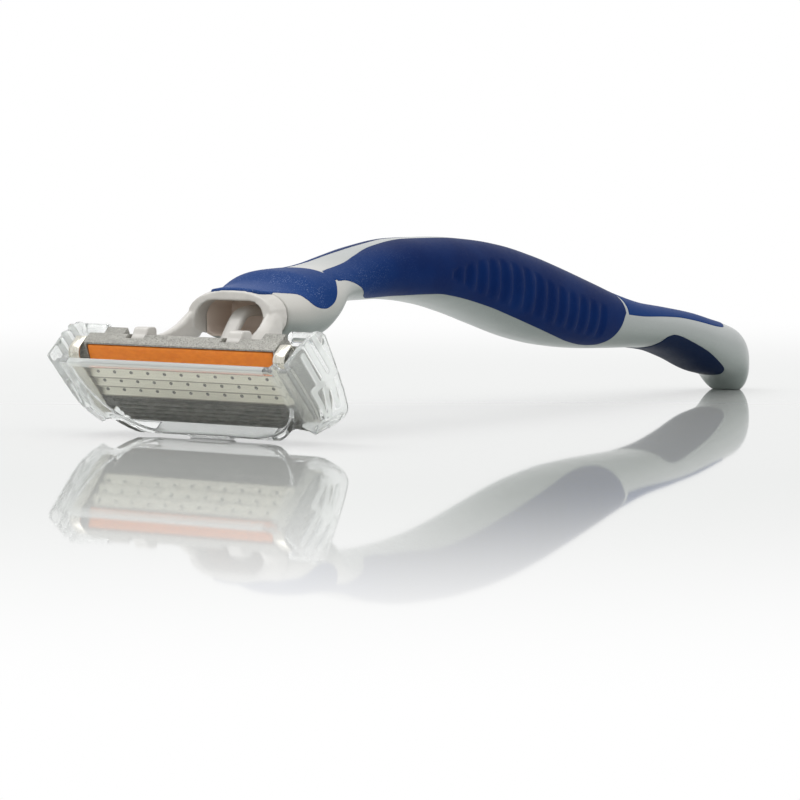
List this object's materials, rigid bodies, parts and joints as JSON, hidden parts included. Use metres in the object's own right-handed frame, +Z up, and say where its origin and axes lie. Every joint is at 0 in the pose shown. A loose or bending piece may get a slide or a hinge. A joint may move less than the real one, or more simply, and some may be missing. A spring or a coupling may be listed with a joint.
{
  "type": "shaving razor",
  "caption": "Shaving razor with a curved rubber-gripped handle, a pivoting multi-blade head on a two-legged yoke and a clear pull-off blade cover, lying on cover and tail.",
  "frame": {"origin": "middle of the bounding box in X and Y, on the table", "axes": "+X across the head, +Y from the head to the handle's tail, +Z up from the table the razor lies on"},
  "size_m": [0.0412, 0.1332, 0.025],
  "materials": {
    "silver_plastic": "silver-grey, satin",
    "pearl_plastic": "pearl silver, satin",
    "blue_rubber": "satin",
    "dark_blue_rubber": "satin",
    "grained_plastic": "silver with a coarse grain",
    "lubricating_strip": "orange, waxy",
    "guard_rubber": "matte",
    "clip_steel": "bright",
    "blade_steel": "satin",
    "clear_plastic": "clear, polished"
  },
  "bodies": {
    "handle": {"handle_core": "silver_plastic", "yoke_frame": "pearl_plastic", "return_finger": "pearl_plastic", "neck_pad": "blue_rubber", "grip_left": "blue_rubber", "grip_right": "blue_rubber", "tail_top_pad": "blue_rubber", "tail_bottom_pad": "dark_blue_rubber"},
    "cartridge": {"cartridge_housing": "grained_plastic", "guard_fins": "guard_rubber", "lubricating_strip": "lubricating_strip", "clip_left": "clip_steel", "clip_right": "clip_steel"},
    "blade_one": {"blade_1": "blade_steel", "blade_1_support": "blade_steel"},
    "blade_two": {"blade_2": "blade_steel", "blade_2_support": "blade_steel"},
    "blade_three": {"blade_3": "blade_steel", "blade_3_support": "blade_steel"},
    "cover": {"blade_cover": "clear_plastic"}
  },
  "joints": [
    {"name": "head_pivot", "type": "hinge", "parent": "handle", "child": "cartridge", "pos_m": [0, -0.06098, 0.01233], "axis": [1, 0, 0], "range_deg": [0, 35], "stiffness_Nm_per_rad": 0.02, "springref_deg": -20.05, "deforming": ["return_finger"]},
    {"name": "blade_1_float", "type": "slide", "parent": "cartridge", "child": "blade_one", "axis": [0, 0.7385, 0.6743], "range_m": [0, 0.0003], "stiffness_N_per_m": 200, "springref_m": -0.0003},
    {"name": "blade_2_float", "type": "slide", "parent": "cartridge", "child": "blade_two", "axis": [0, 0.7385, 0.6743], "range_m": [0, 0.0003], "stiffness_N_per_m": 200, "springref_m": -0.0003},
    {"name": "blade_3_float", "type": "slide", "parent": "cartridge", "child": "blade_three", "axis": [0, 0.7385, 0.6743], "range_m": [0, 0.0003], "stiffness_N_per_m": 200, "springref_m": -0.0003},
    {"name": "cover_slide", "type": "slide", "parent": "cartridge", "child": "cover", "axis": [0, 0.6743, -0.7385], "range_m": [0, 0.014]}
  ]
}
